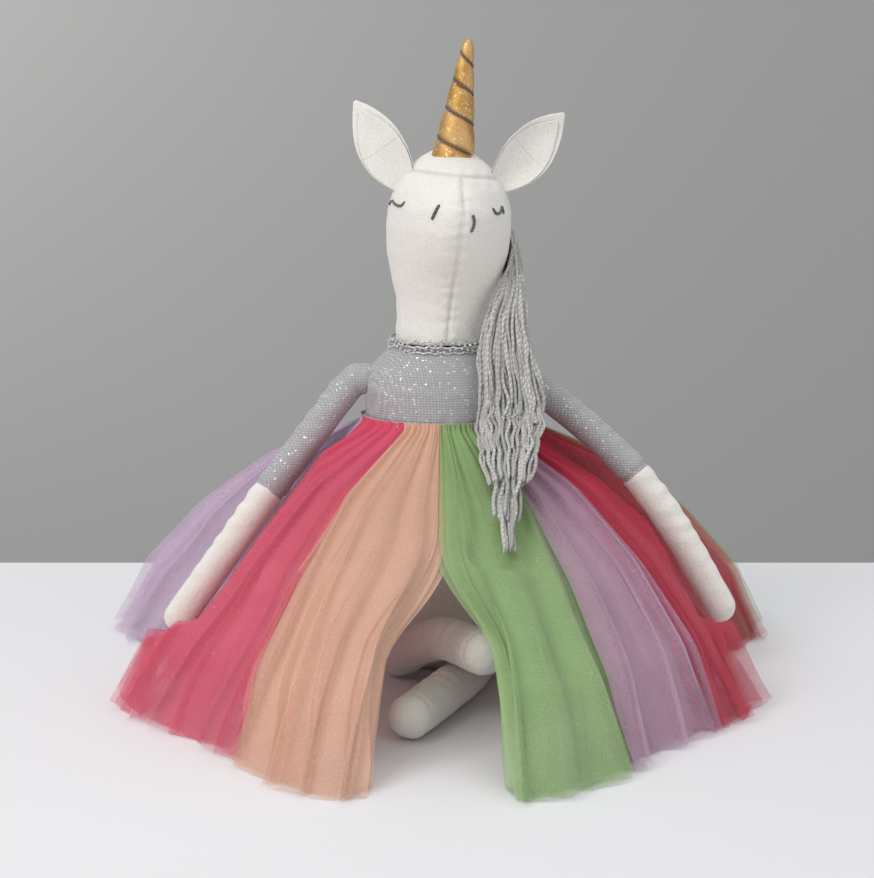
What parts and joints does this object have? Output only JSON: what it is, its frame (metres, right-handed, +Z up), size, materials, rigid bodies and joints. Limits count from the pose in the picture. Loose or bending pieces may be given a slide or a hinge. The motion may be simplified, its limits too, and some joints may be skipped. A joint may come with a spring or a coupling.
{
  "type": "plush unicorn doll",
  "caption": "Seated soft unicorn doll with a leaning horn, long yarn mane, swinging arms, crossed legs and a wide panelled tulle skirt",
  "frame": {"origin": "middle of the seat, on the surface the doll sits on", "axes": "+Z up, the doll faces -Y, its left side is towards +X"},
  "size_m": [0.4142, 0.4585, 0.3694],
  "materials": {
    "brown_thread": "matte cord",
    "ear_lining": "smooth velour",
    "face_thread": "satin embroidery thread",
    "gold_cloth": "metallic gold cloth",
    "mane_yarn": "soft twisted yarn",
    "polyester_stuffing": "loose fibre fill",
    "silver_braid": "sequin braid",
    "silver_knit": "fine knit with metallic glitter",
    "tulle_crimson": "sheer glitter tulle",
    "tulle_green": "sheer glitter tulle",
    "tulle_lilac": "sheer glitter tulle",
    "tulle_mauve": "sheer glitter tulle",
    "tulle_peach": "sheer glitter tulle",
    "tulle_pink": "sheer glitter tulle",
    "waistband": "plain woven tape",
    "white_fleece": "soft short-pile fleece"
  },
  "bodies": {
    "torso": {"torso_stuffing": "polyester_stuffing", "bodice_front": "silver_knit", "bodice_back": "silver_knit", "seat_cover": "white_fleece", "collar_braid": "silver_braid", "skirt_waistband": "waistband", "tulle_pink_right": "tulle_pink", "tulle_peach_front": "tulle_peach", "tulle_green_front": "tulle_green", "tulle_mauve_left": "tulle_mauve", "tulle_crimson_left": "tulle_crimson", "tulle_green_back": "tulle_green", "tulle_peach_back": "tulle_peach", "tulle_lilac_right": "tulle_lilac"},
    "head": {"head_stuffing": "polyester_stuffing", "head_side_left": "white_fleece", "head_side_right": "white_fleece", "crown_gusset": "white_fleece", "eye_stitches": "face_thread", "nostril_stitches": "face_thread", "horn_cover": "gold_cloth", "horn_stuffing": "polyester_stuffing", "horn_thread": "brown_thread", "mane_crown": "mane_yarn", "left_ear_outer": "white_fleece", "left_ear_lining": "ear_lining", "right_ear_outer": "white_fleece", "right_ear_lining": "ear_lining"},
    "mane": {"mane_tail": "mane_yarn"},
    "left_arm": {"left_sleeve": "silver_knit", "left_forearm": "white_fleece", "left_arm_stuffing": "polyester_stuffing"},
    "left_leg": {"left_leg_cover": "white_fleece", "left_foot_sole": "white_fleece", "left_leg_stuffing": "polyester_stuffing"},
    "right_arm": {"right_sleeve": "silver_knit", "right_forearm": "white_fleece", "right_arm_stuffing": "polyester_stuffing"},
    "right_leg": {"right_leg_cover": "white_fleece", "right_foot_sole": "white_fleece", "right_leg_stuffing": "polyester_stuffing"}
  },
  "joints": [
    {"name": "neck_turn", "type": "hinge", "parent": "torso", "child": "head", "pos_m": [0, 0, 0.1934], "axis": [0, 0, 1], "range_deg": [-25, 25]},
    {"name": "mane_hang", "type": "hinge", "parent": "head", "child": "mane", "pos_m": [0, 0, 0.1934], "axis": [0, 0, 1], "range_deg": [-25, 25]},
    {"name": "left_shoulder", "type": "hinge", "parent": "torso", "child": "left_arm", "pos_m": [0.054, 0, 0.168], "axis": [0, -1, 0], "range_deg": [0, 95]},
    {"name": "right_shoulder", "type": "hinge", "parent": "torso", "child": "right_arm", "pos_m": [-0.054, 0, 0.168], "axis": [0, 1, 0], "range_deg": [0, 95]},
    {"name": "left_hip", "type": "hinge", "parent": "torso", "child": "left_leg", "pos_m": [0.024, -0.044, 0.0128], "axis": [1, 0, 0], "range_deg": [0, 70]},
    {"name": "right_hip", "type": "hinge", "parent": "torso", "child": "right_leg", "pos_m": [-0.024, -0.044, 0.013], "axis": [1, 0, 0], "range_deg": [0, 70]}
  ],
  "couplings": [
    {"joint": "mane_hang", "follows": "neck_turn", "ratio": -1},
    {"joint": "right_hip", "follows": "left_hip", "ratio": 1}
  ]
}
